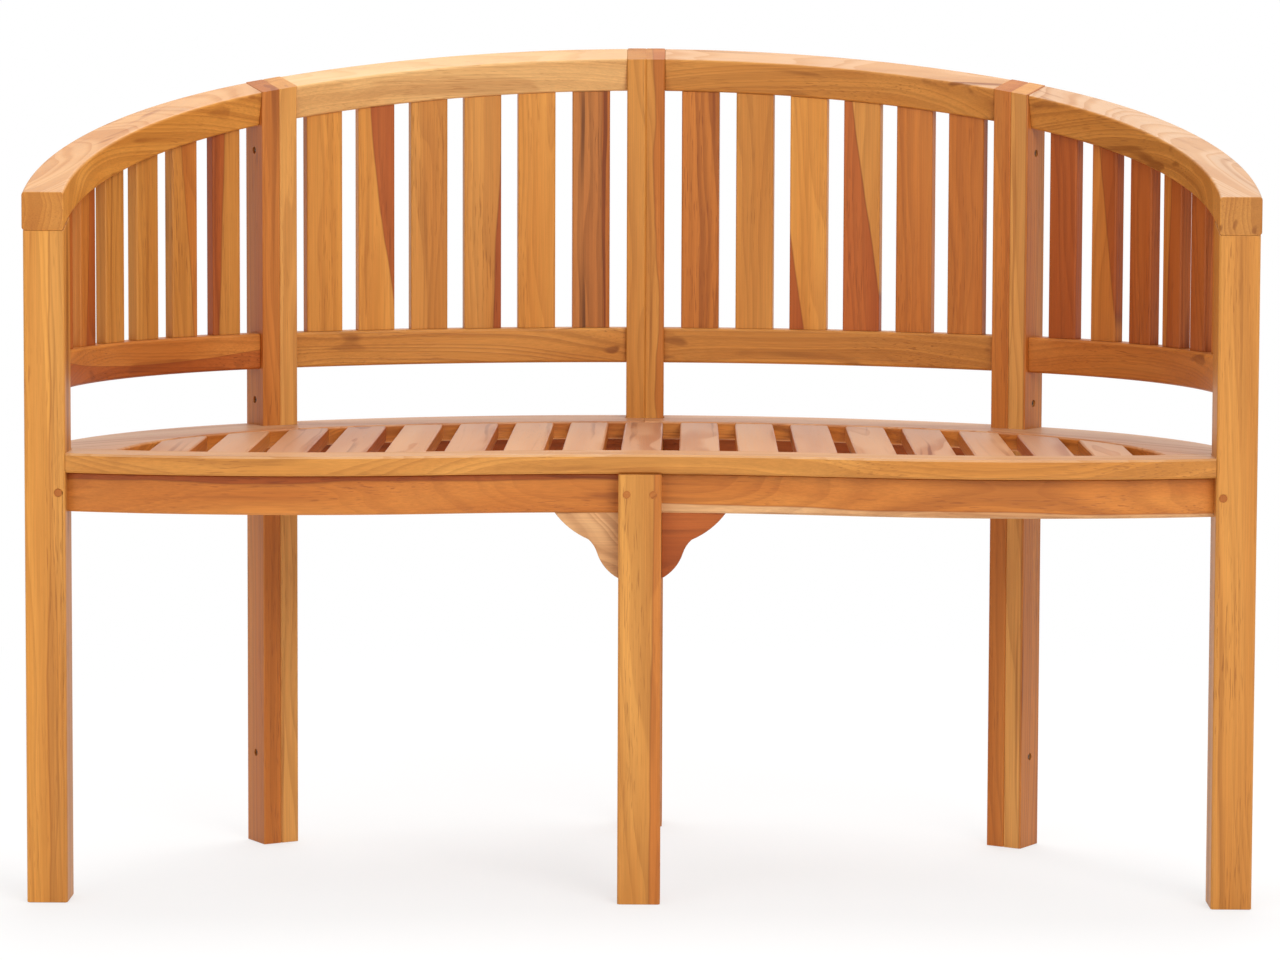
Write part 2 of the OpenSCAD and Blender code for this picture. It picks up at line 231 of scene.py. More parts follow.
@dataclass(frozen=True)
class Ripple:
    """A noise that is drawn out along a board.

    Attributes:
        waves: Waves for each metre along, across and through the board.
        detail: Number of finer layers.
        roughness: Strength of the finer layers.
        step: Levels of the noise between which a mask rises from 0 to 1, if it makes a mask.
    """

    waves: tuple[float, float, float]
    detail: float = 2.0
    roughness: float = 0.5
    step: Optional[tuple[float, float]] = None

    def lay(self, sheet: NodeSheet, point: Value) -> Socket:
        """Adds the noise to a node tree.

        Args:
            sheet: The sheet of the tree that gets it.
            point: Where the noise is read.

        Returns:
            The noise, about 0.5 on average, or the mask.
        """
        noise = sheet.add("ShaderNodeTexNoise", {"noise_dimensions": "3D"}, {
            "Vector": sheet.vector("MULTIPLY", point, self.waves), "Scale": 1.0,
            "Detail": self.detail, "Roughness": self.roughness}).outputs[0]
        return sheet.ramp(noise, *self.step) if self.step else noise

    def swing(self, sheet: NodeSheet, point: Value, reach: Value) -> Socket:
        """Returns the noise as a way to either side of 0, up to half of the reach."""
        return sheet.times(sheet.math("SUBTRACT", self.lay(sheet, point), 0.5), reach)


class Kind(enum.Enum):
    """The kinds of socket that a shader group has."""

    NUMBER = "NodeSocketFloat"
    VECTOR = "NodeSocketVector"
    COLOUR = "NodeSocketColor"


def ports(kind: Kind, *names: str) -> dict[str, Kind]:
    """Returns the kind of each named socket."""
    return dict.fromkeys(names, kind)


def fields(source: Any, names: Sequence[str], prefix: str = "") -> dict[str, Value]:
    """Returns fields of a dataclass by the names of the sockets that take them."""
    return {prefix + name: getattr(source, name.lower().replace(" ", "_")) for name in names}


TONES = ("Light", "Body", "Dark")
RINGS = ("Pith Across", "Pith Through", "Ring Pitch", "Taper")
SURFACE = ("Streaks", "Figure", "Bleach", "Roughness")
BORDER = ("Place", "Lean", "Tilt", "Side", "Wander")


class ShaderGroup(NodeSheet):
    """A shader node group with named inputs and outputs, built once and placed in materials."""

    name = "Group"
    takes: dict[str, Kind] = {}
    gives: dict[str, Kind] = {}

    def __init__(self) -> None:
        """Makes the node tree with its sockets and fills it."""
        super().__init__(bpy.data.node_groups.new(self.name, "ShaderNodeTree"))
        for sockets, side in ((self.takes, "INPUT"), (self.gives, "OUTPUT")):
            for name, kind in sockets.items():
                self.tree.interface.new_socket(name, in_out=side, socket_type=kind.value)
        self.inlet = self.add("NodeGroupInput")
        self.outlet = self.add("NodeGroupOutput")
        self.fill()

    def read(self, name: str) -> Socket:
        """Returns an input of the group, seen from inside."""
        return self.inlet.outputs[name]

    def give(self, name: str, value: Socket) -> None:
        """Links a result to an output of the group."""
        self.tree.links.new(value, self.outlet.inputs[name])

    def fill(self) -> None:
        """Adds the nodes of the group."""
        raise NotImplementedError

    def place(self, sheet: NodeSheet, inputs: dict[str, Value]) -> dict[str, Socket]:
        """Places the group on a sheet with values for its inputs, and returns its results."""
        node = sheet.add("ShaderNodeGroup", {"node_tree": self.tree}, inputs)
        return {name: node.outputs[name] for name in self.gives}

    def nest(self, part: "ShaderGroup", made: dict[str, Value]) -> dict[str, Socket]:
        """Places a smaller group in this one, fed by what is made or by its own inputs."""
        inputs = {name: made[name] if name in made else self.read(name) for name in part.takes}
        return part.place(self, inputs)


class BoardFrame(ShaderGroup):
    """Turns a point and a normal of the bench into a board's own axes: along, across, through."""

    name = "Board_Frame"
    takes = ports(Kind.VECTOR, "Point", "Normal", "Origin", "Turn")
    gives = ports(Kind.VECTOR, "Board", "Facing")

    def fill(self) -> None:
        """Shifts and turns the point, and turns the normal."""
        moved = self.vector("SUBTRACT", self.read("Point"), self.read("Origin"))
        for source, target in ((moved, "Board"), (self.read("Normal"), "Facing")):
            node = self.add("ShaderNodeVectorRotate",
                            {"rotation_type": "EULER_XYZ", "invert": True},
                            {"Vector": source, "Rotation": self.read("Turn")})
            self.give(target, node.outputs[0])


class SlatRow(ShaderGroup):
    """Gives each slat of a row its own axes, its own seed and its own share of heartwood."""

    name = "Slat_Row"
    takes = ports(Kind.VECTOR, "Board") | ports(Kind.NUMBER, "Pitch", "Seed")
    gives = ports(Kind.VECTOR, "Board") | ports(Kind.NUMBER, "Seed", "Share")
    seed_spread = 23.0
    heart_step = (0.35, 1.0)

    def fill(self) -> None:
        """Counts the slats across the row and draws a number for each."""
        pitch = self.read("Pitch")
        along, across, through = self.split(self.read("Board"))
        count = self.math("ROUND", self.math("DIVIDE", across, pitch))
        centred = self.math("SUBTRACT", across, self.times(count, pitch))
        self.give("Board", self.join(along, centred, through))
        drawn = self.add("ShaderNodeTexWhiteNoise", {"noise_dimensions": "1D"},
                         {"W": self.math("ADD", count, self.read("Seed"))}).outputs[0]
        self.give("Seed", self.scaled(drawn, self.seed_spread, self.read("Seed")))
        self.give("Share", self.ramp(drawn, *self.heart_step))


class GrowthRings(ShaderGroup):
    """Annual rings of the tree that a board was sawn from, as they meet its faces."""

    name = "Growth_Rings"
    takes = ports(Kind.VECTOR, "Board", "Shifted") | ports(Kind.NUMBER, *RINGS)
    gives = ports(Kind.NUMBER, "Ring", "Band")
    bend = Ripple((2.6, 14.0, 14.0))
    bend_reach = 0.026
    uneven = Ripple((90.0, 1.0, 1.0), 1.0)
    uneven_years = 4.0
    late_rise = (0.25, 0.93)
    late_fall = (1.0, 0.93)
    climate = Ripple((0.31, 0.4, 1.0))

    def fill(self) -> None:
        """Measures the distance from the pith, warps it and turns it into rings."""
        shifted = self.read("Shifted")
        along, across, through = self.split(self.read("Board"))
        side = self.math("SUBTRACT", self.scaled(along, self.read("Taper"), across),
                         self.read("Pith Across"))
        rise = self.math("SUBTRACT", through, self.read("Pith Through"))
        round_pith = self.math("SQRT", self.scaled(side, side, self.times(rise, rise)))
        radius = self.math("ADD", round_pith, self.bend.swing(self, shifted, self.bend_reach))
        uneven = self.uneven.lay(self, self.join(radius, 0.0, 0.0))
        years = self.scaled(uneven, self.uneven_years,
                            self.math("DIVIDE", radius, self.read("Ring Pitch")))
        season = self.math("FRACT", years)
        self.give("Ring", self.times(self.ramp(season, *self.late_rise),
                                     self.ramp(season, *self.late_fall)))
        far = self.split(shifted)[0]
        self.give("Band", self.climate.lay(self, self.join(years, far, 0.0)))


class FibreGrain(ShaderGroup):
    """Fine fibres and the short dark pores that lie between them."""

    name = "Fibre_Grain"
    takes = ports(Kind.VECTOR, "Shifted")
    gives = ports(Kind.NUMBER, "Fibre", "Pore")
    fine, fine_share = Ripple((11.0, 760.0, 760.0), 3.0, 0.65), 0.7
    coarse, coarse_share = Ripple((4.0, 170.0, 170.0), 4.0, 0.7), 0.3
    dash = Ripple((42.0, 780.0, 780.0), 1.0, step=(0.58, 0.72))
    patch = Ripple((5.0, 30.0, 30.0), 1.0, step=(0.40, 0.66))

    def fill(self) -> None:
        """Joins two noises into fibres, and keeps the pores of a third one in patches."""
        point = self.read("Shifted")
        fine = self.times(self.fine.lay(self, point), self.fine_share)
        self.give("Fibre", self.scaled(self.coarse.lay(self, point), self.coarse_share, fine))
        self.give("Pore", self.times(self.dash.lay(self, point), self.patch.lay(self, point)))


class DarkStreaks(ShaderGroup):
    """Long dark mineral lines and broad, soft changes of tone along a board."""

    name = "Dark_Streaks"
    takes = ports(Kind.VECTOR, "Shifted") | ports(Kind.NUMBER, "Streaks")
    gives = ports(Kind.NUMBER, "Streak", "Drift")
    bend = Ripple((4.0, 9.0, 9.0))
    bend_reach = 0.02
    lines = Ripple((1.6, 120.0, 60.0), 1.0, 0.4, (0.60, 0.70))
    patch = Ripple((3.0, 30.0, 30.0), step=(0.38, 0.62))
    drift = Ripple((1.7, 26.0, 20.0), step=(0.32, 0.68))

    def fill(self) -> None:
        """Keeps the peaks of a drawn-out noise as lines, and a slower one as drift."""
        point = self.read("Shifted")
        along, across, through = self.split(point)
        strayed = self.math("ADD", self.bend.swing(self, point, self.bend_reach), across)
        bent = self.join(along, strayed, through)
        thin = self.times(self.lines.lay(self, bent), self.patch.lay(self, point))
        self.give("Streak", self.times(thin, self.read("Streaks")))
        self.give("Drift", self.drift.lay(self, bent))


class HeartBorder(ShaderGroup):
    """The slanting line where reddish heartwood meets the golden wood of the same board."""

    name = "Heart_Border"
    takes = ports(Kind.VECTOR, "Board", "Shifted") | ports(Kind.NUMBER, *BORDER)
    gives = ports(Kind.NUMBER, "Heart", "Line")
    stray = Ripple((7.0, 6.0, 6.0), 3.0)
    blend = (-0.0006, 0.0009)
    line = (0.0016, 0.0)

    def fill(self) -> None:
        """Measures the distance from the line and makes a mask and a thin dark edge of it."""
        along, across, through = self.split(self.read("Board"))
        line = self.scaled(along, self.read("Lean"), self.read("Place"))
        line = self.scaled(through, self.read("Tilt"), line)
        both_sides = self.times(self.read("Wander"), 2.0)
        stray = self.stray.swing(self, self.read("Shifted"), both_sides)
        offset = self.math("ADD", self.math("SUBTRACT", across, line), stray)
        offset = self.times(offset, self.read("Side"))
        self.give("Heart", self.ramp(offset, *self.blend))
        self.give("Line", self.ramp(self.math("ABSOLUTE", offset), *self.line))


class EdgeEase(ShaderGroup):
    """Masks from the way the surface faces: end grain, and eased edges with wear and a painted
    highlight.
    """

    name = "Edge_Ease"
    takes = ports(Kind.VECTOR, "Facing", "Shifted")
    gives = ports(Kind.NUMBER, "Worn Arris Highlight", "End")
    wear_and_glint = Ripple((22.0, 60.0, 60.0), step=(0.25, 0.6))
    corner_step = (0.45, 0.95)
    end_step = (0.66, 0.80)

    def fill(self) -> None:
        """Edges face between two sides of the board, ends face along it."""
        along, _, through = self.split(self.read("Facing"))
        lift = self.math("ABSOLUTE", through)
        level = self.math("SQRT", self.math("SUBTRACT", 1.0, self.times(lift, lift), clamp=True))
        corner = self.times(self.times(lift, level), 2.0)
        # The eased arrises are lightened by this mask: partly wear, partly a painted highlight of
        # the light that catches them.
        self.give("Worn Arris Highlight", self.times(self.ramp(corner, *self.corner_step),
                                     self.wear_and_glint.lay(self, self.read("Shifted"))))
        self.give("End", self.ramp(self.math("ABSOLUTE", along), *self.end_step))


class PalingAndSheen(ShaderGroup):
    """Mask for the paler look of the faces that look up: partly dusty paling in sunlight, partly
    a painted sheen of the light from above.
    """

    name = "Sun_Bleach"
    takes = ports(Kind.VECTOR, "Facing") | ports(Kind.NUMBER, "Drift", "Ring", "Streak", "Bleach")
    gives = ports(Kind.NUMBER, "Paling And Sheen Mask")
    up_step = (0.35, 0.90)
    losses = {"Drift": -0.20, "Ring": -0.45, "Streak": -0.5}

    def fill(self) -> None:
        """Takes the faces that look up and thins the paling and painted sheen in patches and on
        dark grain.
        """
        _, _, through = self.split(self.read("Facing"))
        up = self.times(self.ramp(through, *self.up_step), self.read("Bleach"))
        masks = {name: self.read(name) for name in self.losses}
        self.give("Paling And Sheen Mask", self.times(up, self.total(1.0, masks, self.losses, clamp=True)))


class WoodColour(ShaderGroup):
    """Lays rings, fibres, streaks, wear and painted highlights over the three colours of one kind
    of board.
    """

    name = "Wood_Colour"
    takes = (ports(Kind.COLOUR, *TONES)
             | ports(Kind.NUMBER, "Ring", "Band", "Fibre", "Pore", "Streak", "Drift", "Worn Arris Highlight",
                     "End", "Figure"))
    gives = ports(Kind.COLOUR, "Colour")
    soft_band = (0.36, 0.62, 0.0, 0.5)
    dark_band = (0.56, 0.72)
    dark_band_figure, dark_band_base = 0.8, 0.2
    fibre_shade = (0.34, 0.66, 0.91, 1.07)
    pore_share, edge_share, end_share = 0.50, 0.35, 0.34

    def fill(self) -> None:
        """Mixes from the broadest change to the finest."""
        figure, band = self.read("Figure"), self.read("Band")
        light, body, dark = (self.read(name) for name in TONES)
        colour = self.mix(self.read("Drift"), light, body)
        colour = self.mix(self.ramp(band, *self.soft_band), colour, body)
        colour = self.mix(self.times(self.read("Ring"), figure), colour, dark)
        years = self.times(self.ramp(band, *self.dark_band), self.scaled(
            figure, self.dark_band_figure, self.dark_band_base))
        colour = self.mix(years, colour, dark)
        colour = self.mix(self.read("Streak"), colour, dark)
        shade = self.ramp(self.read("Fibre"), *self.fibre_shade)
        colour = self.vector("MULTIPLY", colour, self.join(shade, shade, shade))
        # Of these marks, the arris one lightens toward the early-wood colour: partly wear, partly
        # a painted highlight.
        for mask, share, over in (("Pore", self.pore_share, dark),
                                  ("Worn Arris Highlight", self.edge_share, light),
                                  ("End", self.end_share, dark)):
            colour = self.mix(self.times(self.read(mask), share), colour, over)
        self.give("Colour", colour)


class OiledHardwood(ShaderGroup):
    """The whole oiled board: colour, roughness and height from its own axes."""

    name = "Oiled_Hardwood"
    takes = (ports(Kind.VECTOR, "Board", "Facing")
             | ports(Kind.COLOUR, *TONES, *(f"Heart {tone}" for tone in TONES), "Bleached")
             | ports(Kind.NUMBER, "Seed", "Heart Share", *BORDER, *RINGS, *SURFACE))
    gives = ports(Kind.COLOUR, "Colour") | ports(Kind.NUMBER, "Roughness", "Height")
    seed_shift = (0.731, 0.417, 0.293)
    line_fibre, line_base = 0.7, 0.1
    gloss = 0.08
    roughness_shares = {"Fibre": 0.16, "End": 0.10, "Worn Arris Highlight": -0.05}
    height_shares = {"Ring": 0.30, "Pore": -0.9}

    def __init__(self, parts: dict[str, ShaderGroup]) -> None:
        """Builds the group out of the smaller ones, which are given by name."""
        self.parts = parts
        super().__init__()

    def fill(self) -> None:
        """Runs the board's axes through every effect and joins the results."""
        seed = self.read("Seed")
        shift = self.vector("MULTIPLY", self.seed_shift, self.join(seed, seed, seed))
        made = {"Shifted": self.vector("ADD", self.read("Board"), shift)}
        for name in ("Growth_Rings", "Fibre_Grain", "Dark_Streaks", "Heart_Border", "Edge_Ease"):
            made |= self.nest(self.parts[name], made)
        line = self.times(made["Line"],
                          self.scaled(made["Fibre"], self.line_fibre, self.line_base))
        made["Streak"] = self.math("MAXIMUM", made["Streak"], line)
        heart_tones = {tone: self.read(f"Heart {tone}") for tone in TONES}
        sap, heart = (self.nest(self.parts["Wood_Colour"], made | tones)["Colour"]
                      for tones in ({}, heart_tones))
        share = self.math("MAXIMUM", made["Heart"], self.read("Heart Share"))
        # Faces that look up are mixed toward a paler colour: partly paling, partly a painted
        # sheen of the light from above.
        paling_and_sheen_mask = self.nest(self.parts["Sun_Bleach"], made)["Paling And Sheen Mask"]
        self.give("Colour", self.mix(paling_and_sheen_mask, self.mix(share, sap, heart), self.read("Bleached")))
        base = self.math("SUBTRACT", self.read("Roughness"), self.gloss)
        self.give("Roughness", self.total(base, made, self.roughness_shares, clamp=True))
        self.give("Height", self.total(made["Fibre"], made, self.height_shares))


class BrushedSteel(ShaderGroup):
    """Dull turned steel with fine brush lines and a little rust in patches."""

    name = "Brushed_Steel"
    takes = ports(Kind.VECTOR, "Point") | ports(Kind.COLOUR, "Clean", "Rust")
    gives = ports(Kind.COLOUR, "Colour") | ports(Kind.NUMBER, "Roughness", "Height")
    brush = Ripple((3000.0, 3000.0, 400.0))
    patch = Ripple((420.0, 420.0, 420.0), 4.0, 0.6, (0.45, 0.68))
    rust_share = 0.7
    roughness = 0.32
    roughness_shares = {"Patch": 0.35, "Brush": 0.12}

    def fill(self) -> None:
        """Adds brush lines and rust patches."""
        point = self.read("Point")
        made = {"Brush": self.brush.lay(self, point), "Patch": self.patch.lay(self, point)}
        self.give("Colour", self.mix(self.times(made["Patch"], self.rust_share),
                                     self.read("Clean"), self.read("Rust")))
        self.give("Roughness", self.total(self.roughness, made, self.roughness_shares))
        self.give("Height", self.math("ADD", made["Brush"], made["Patch"]))


Shelf = dict[str, ShaderGroup]


def build_groups() -> Shelf:
    """Builds each shader group once, and last the one that holds the effects of the wood.

    Returns:
        The groups, by name.
    """
    small = (BoardFrame, SlatRow, GrowthRings, FibreGrain, DarkStreaks, HeartBorder, EdgeEase,
             PalingAndSheen, WoodColour, BrushedSteel)
    shelf = {kind.name: kind() for kind in small}
    shelf[OiledHardwood.name] = OiledHardwood(shelf)
    return shelf


class SurfaceSheet(NodeSheet):
    """The node sheet of a new material, with its shader at hand."""

    def __init__(self, name: str) -> None:
        """Makes a material.

        Args:
            name: Name of the material.
        """
        self.material = bpy.data.materials.new(name)
        self.material.use_nodes = True
        super().__init__(self.material.node_tree)
        self.shader = self.find("BSDF_PRINCIPLED")

    def find(self, kind: str) -> bpy.types.Node:
        """Returns the first node of a type."""
        return next(node for node in self.tree.nodes if node.type == kind)

    def set(self, **values: Value) -> None:
        """Sets sockets of the shader, whose names have _ in place of spaces."""
        for name, value in values.items():
            self.shader.inputs[name.replace("_", " ")].default_value = value

    def cover(self, surface: dict[str, Socket], strength: float, depth: float) -> None:
        """Feeds a colour, a roughness and a height to the shader.

        Args:
            surface: The three results of a shader group, by name.
            strength: Strength of the bump, 0 to 1.
            depth: Depth of the bump, in metres.
        """
        bump = self.add("ShaderNodeBump", None, {
            "Strength": strength, "Distance": depth, "Height": surface["Height"]})
        self.feed(self.shader.inputs["Base Color"], surface["Colour"])
        self.feed(self.shader.inputs["Roughness"], surface["Roughness"])
        self.feed(self.shader.inputs["Normal"], bump.outputs[0])


@dataclass(frozen=True)
class Axes:
    """A board's own axes in the frame of the bench.

    Attributes:
        origin: Middle of the board.
        along: Direction of the fibres.
        across: Direction of the board's width.
    """

    origin: Vector
    along: Vector
    across: Vector

    def turn(self) -> tuple[float, float, float]:
        """Returns the Euler angles that turn the bench's axes into the board's."""
        rows = Matrix((self.along, self.across, self.along.cross(self.across)))
        return tuple(rows.transposed().to_euler("XYZ"))


@dataclass(frozen=True)
class Wood:
    """One board's oiled wood.

    Attributes:
        tone: Colours of the board.
        seed: Number that picks this board's own grain.
        border: Heartwood of a second colour, if it shows any.
        pith_across: Place of the tree's middle across the board, in metres.
        pith_through: Place of the tree's middle below the board, in metres.
        ring_pitch: Spacing of the rings, in metres.
        taper: How far the rings move across for each metre along the board.
        streaks: Strength of the dark mineral lines, 0 to 1.
        figure: Strength of the annual rings, 0 to 1.
        bleach: Strength of the paler look of the faces that look up, 0 to 1: partly paling,
            partly painted sheen.
        bleached: Colour of the paled wood and its painted sheen.
        roughness: Roughness of the oiled surface.
        sheen_level: Level of the oil's reflection, where 0.5 is a plain surface.
        bump: Strength of the grain's relief, 0 to 1.
        bump_depth: Depth of the grain's relief, in metres.
        row_pitch: Spacing of the slats where one node holds a row of them, or 0.
    """

    tone: Tone
    seed: float
    border: Border = NO_BORDER
    pith_across: float = 0.03
    pith_through: float = -0.09
    ring_pitch: float = 0.0062
    taper: float = 0.03
    streaks: float = 0.5
    figure: float = 0.22
    bleach: float = 0.0
    bleached: Colour = paint(200, 168, 138)
    roughness: float = 0.42
    sheen_level: float = 0.26
    bump: float = 0.35
    bump_depth: float = 0.0005
    row_pitch: float = 0.0

    def material(self, name: str, axes: Axes, shelf: Shelf) -> bpy.types.Material:
        """Makes the material of one board.

        Args:
            name: Name of the board.
            axes: The board's own axes.
            shelf: The shader groups.

        Returns:
            The material.
        """
        sheet = SurfaceSheet(f"oiled_{name}")
        where = sheet.add("ShaderNodeTexCoord").outputs
        own = shelf["Board_Frame"].place(sheet, {
            "Point": where["Object"], "Normal": where["Normal"],
            "Origin": tuple(axes.origin), "Turn": axes.turn()})
        board, seed, share = own["Board"], self.seed, 0.0
        if self.row_pitch:
            row = shelf["Slat_Row"].place(sheet, {
                "Board": board, "Pitch": self.row_pitch, "Seed": seed})
            board, seed, share = row["Board"], row["Seed"], row["Share"]
        wood = shelf["Oiled_Hardwood"].place(sheet, {
            "Board": board, "Facing": own["Facing"], "Seed": seed, "Heart Share": share,
            **fields(self.tone.value, TONES), **fields(self.border.tone.value, TONES, "Heart "),
            **fields(self.border, BORDER), **fields(self, (*RINGS, *SURFACE, "Bleached"))})
        sheet.cover(wood, self.bump, self.bump_depth)
        sheet.set(Specular_IOR_Level=self.sheen_level)
        return sheet.material


@dataclass(frozen=True)
class Steel:
    """Dull steel of the screws.

    Attributes:
        clean: Colour of the bare metal.
        rust: Colour of the rusted patches.
        metallic: How much of it is bare metal, 0 to 1.
        bump: Strength of the relief, 0 to 1.
        bump_depth: Depth of the relief, in metres.
    """

    clean: Colour = paint(150, 142, 132)
    rust: Colour = paint(96, 62, 40)
    metallic: float = 0.85
    bump: float = 0.2
    bump_depth: float = 0.0002

    def material(self, name: str, shelf: Shelf) -> bpy.types.Material:
        """Makes the material.

        Args:
            name: Name of the piece.
            shelf: The shader groups.

        Returns:
            The material.
        """
        sheet = SurfaceSheet(f"steel_{name}")
        where = sheet.add("ShaderNodeTexCoord").outputs
        steel = shelf["Brushed_Steel"].place(sheet, {
            "Point": where["Object"], "Clean": self.clean, "Rust": self.rust})
        sheet.cover(steel, self.bump, self.bump_depth)
        sheet.set(Metallic=self.metallic)
        return sheet.material


def cover_node(node: bpy.types.Object, material: bpy.types.Material) -> None:
    """Gives a CAD node one material in place of its own."""
    node.data.materials.clear()
    node.data.materials.append(material)


@dataclass
class Board:
    """One wooden CAD node: its shape, its axes and its finish.

    Attributes:
        name: Name of the CAD node.
        grain: Which way its fibres run.
        finish: Its wood.
        soften: Radius of the rounding on its edges, in metres.
    """

    name: str
    grain: Grain
    finish: Wood
    soften: float

    LEVEL_AXES = {Grain.RAIL: (ALONG_BENCH, TO_BACK), Grain.FACE: (ALONG_BENCH, UP),
                  Grain.DEPTH: (TO_BACK, UP), Grain.SLATS: (TO_BACK, -ALONG_BENCH)}
    UPRIGHT_FACE = 0.3       # most that an upright face may look up or down
    SIDEWAYS = 1e-4          # a face that looks less to the back than this looks sideways
    POST_FACE = 0.2          # share of the largest face that a whole face of a post has

    def __post_init__(self) -> None:
        """Takes up the node."""
        self.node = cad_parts[self.name]

    def wide_face(self) -> Vector:
        """Finds the widest side of the board.

        Returns:
            The level direction to the back that its largest upright face looks in.
        """
        areas: dict[tuple[float, float], float] = {}
        for face in self.node.data.polygons:
            x, y, z = face.normal
            if abs(z) <= self.UPRIGHT_FACE:
                to_front = y < -self.SIDEWAYS or (abs(y) <= self.SIDEWAYS and x < 0)
                sign = -1.0 if to_front else 1.0
                key = (round(sign * x, 2), round(sign * y, 2))
                areas[key] = areas.get(key, 0.0) + face.area
        return Vector((*max(areas, key=areas.get), 0.0)).normalized()

    def post_face(self) -> Vector:
        """Finds the front of a post.

        Returns:
            The level direction opposite to the face that looks most to the front.
        """
        faces = self.node.data.polygons
        whole = self.POST_FACE * max(face.area for face in faces)
        front = min((face.normal for face in faces
                     if abs(face.normal.z) < self.UPRIGHT_FACE and face.area > whole),
                    key=lambda normal: normal.y)
        return Vector((-front.x, -front.y, 0.0)).normalized()

    def chord(self) -> Vector:
        """Finds the run of a bent board.

        Returns:
            The level direction from its left end to its right end.
        """
        points = [vertex.co for vertex in self.node.data.vertices]
        first, last = (pick(points, key=lambda p: (round(p.x, 3), p.y)) for pick in (min, max))
        return Vector((last.x - first.x, last.y - first.y, 0.0)).normalized()

    def axes(self) -> Axes:
        """Works out the board's own axes.

        Returns:
            The axes, with the far side of an upright board to the viewer's right.
        """
        low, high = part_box(self.name)
        if self.grain in self.LEVEL_AXES:
            along, across = self.LEVEL_AXES[self.grain]
        elif self.grain is Grain.CHORD:
            along = self.chord()
            across = Vector((-along.y, along.x, 0.0))
        else:
            back = self.post_face() if self.grain is Grain.POST else self.wide_face()
            along, across = UP, Vector((back.y, -back.x, 0.0))
        return Axes((low + high) / 2, along, across)

    def round_edges(self) -> None:
        """Rounds the eased edges, so that they catch the light as sanded wood does."""
        steps = {
            "weld": ("WELD", {"merge_threshold": 0.00001}),
            "whole_flats": ("DECIMATE", {
                "decimate_type": "DISSOLVE", "angle_limit": math.radians(0.6)}),
            "sanded_edges": ("BEVEL", {
                "width": self.soften, "segments": 2, "limit_method": "ANGLE",
                "angle_limit": math.radians(24), "use_clamp_overlap": True}),
            "even_faces": ("WEIGHTED_NORMAL", {"keep_sharp": False, "weight": 90}),
        }
        for name, (kind, settings) in steps.items():
            modifier = self.node.modifiers.new(name, kind)
            for key, value in settings.items():
                setattr(modifier, key, value)

    def dress(self, shelf: Shelf) -> None:
        """Rounds the node's edges and gives it its wood.

        Args:
            shelf: The shader groups.
        """
        self.round_edges()
        cover_node(self.node, self.finish.material(self.name, self.axes(), shelf))
        LOG.info("%s dressed in %s", self.name, self.finish.tone.name.lower())


@dataclass
class SubAssembly:
    """A group of boards that belong together.

    Attributes:
        soften: Radius of the rounding on their edges, in metres.
    """

    soften: float = 0.0008

    def boards(self) -> list[Board]:
        """Returns the boards of the sub-assembly."""
        raise NotImplementedError

    def cut(self, grain: Grain, finishes: dict[str, Wood]) -> list[Board]:
        """Returns boards whose fibres run one way, from their finishes by name."""
        return [Board(name, grain, finish, self.soften) for name, finish in finishes.items()]

    def dress(self, shelf: Shelf) -> None:
        """Dresses every board with the shader groups of the shelf."""
        for board in self.boards():
            board.dress(shelf)


@dataclass
class FrontLegs(SubAssembly):
    """The two outer front legs and the one in the middle."""

    soften: float = 0.0009

    def boards(self) -> list[Board]:
        """Returns the three legs."""
        return self.cut(Grain.POST, {
            "front_leg_left": Wood(
                Tone.GOLDEN, 3.1, Border(Tone.AMBER, 0.004, 0.006, wander=0.006),
                pith_across=-0.05, pith_through=-0.07, streaks=0.7),
            # A darker tone than the left leg's, to offset the stronger key light from the right:
            # painted shade.
            "front_leg_right": Wood(
                Tone.AMBER, 8.4, pith_across=0.06, streaks=0.35, figure=0.16),
            "front_leg_centre": Wood(
                Tone.AMBER, 12.7, Border(Tone.HONEY, 0.012, 0.010, wander=0.003),
                pith_across=0.02),
        })


@dataclass
class RearPosts(SubAssembly):
    """The three rear posts, each of two boards that lie side by side."""

    soften: float = 0.0005

    def boards(self) -> list[Board]:
        """Returns the six post boards."""
        return self.cut(Grain.POST, {
            "rear_post_left_outer": Wood(Tone.HONEY, 21.3, streaks=0.6),
            "rear_post_left_inner": Wood(Tone.WHEAT, 24.9, streaks=0.8, figure=0.3),
            "rear_post_centre_left": Wood(Tone.AMBER, 27.2),
            "rear_post_centre_right": Wood(
                Tone.AMBER, 29.6, Border(Tone.HONEY, 0.004, -0.012, wander=0.010), streaks=0.7),
            "rear_post_right_inner": Wood(Tone.HONEY, 33.8),
            # Its HONEY border lies at the right arris, so that the post's right side face is
            # darker: painted shade of that face.
            "rear_post_right_outer": Wood(
                Tone.WHEAT, 36.1, Border(Tone.HONEY, 0.0084, wander=0.0002), streaks=0.7,
                figure=0.3),
        })


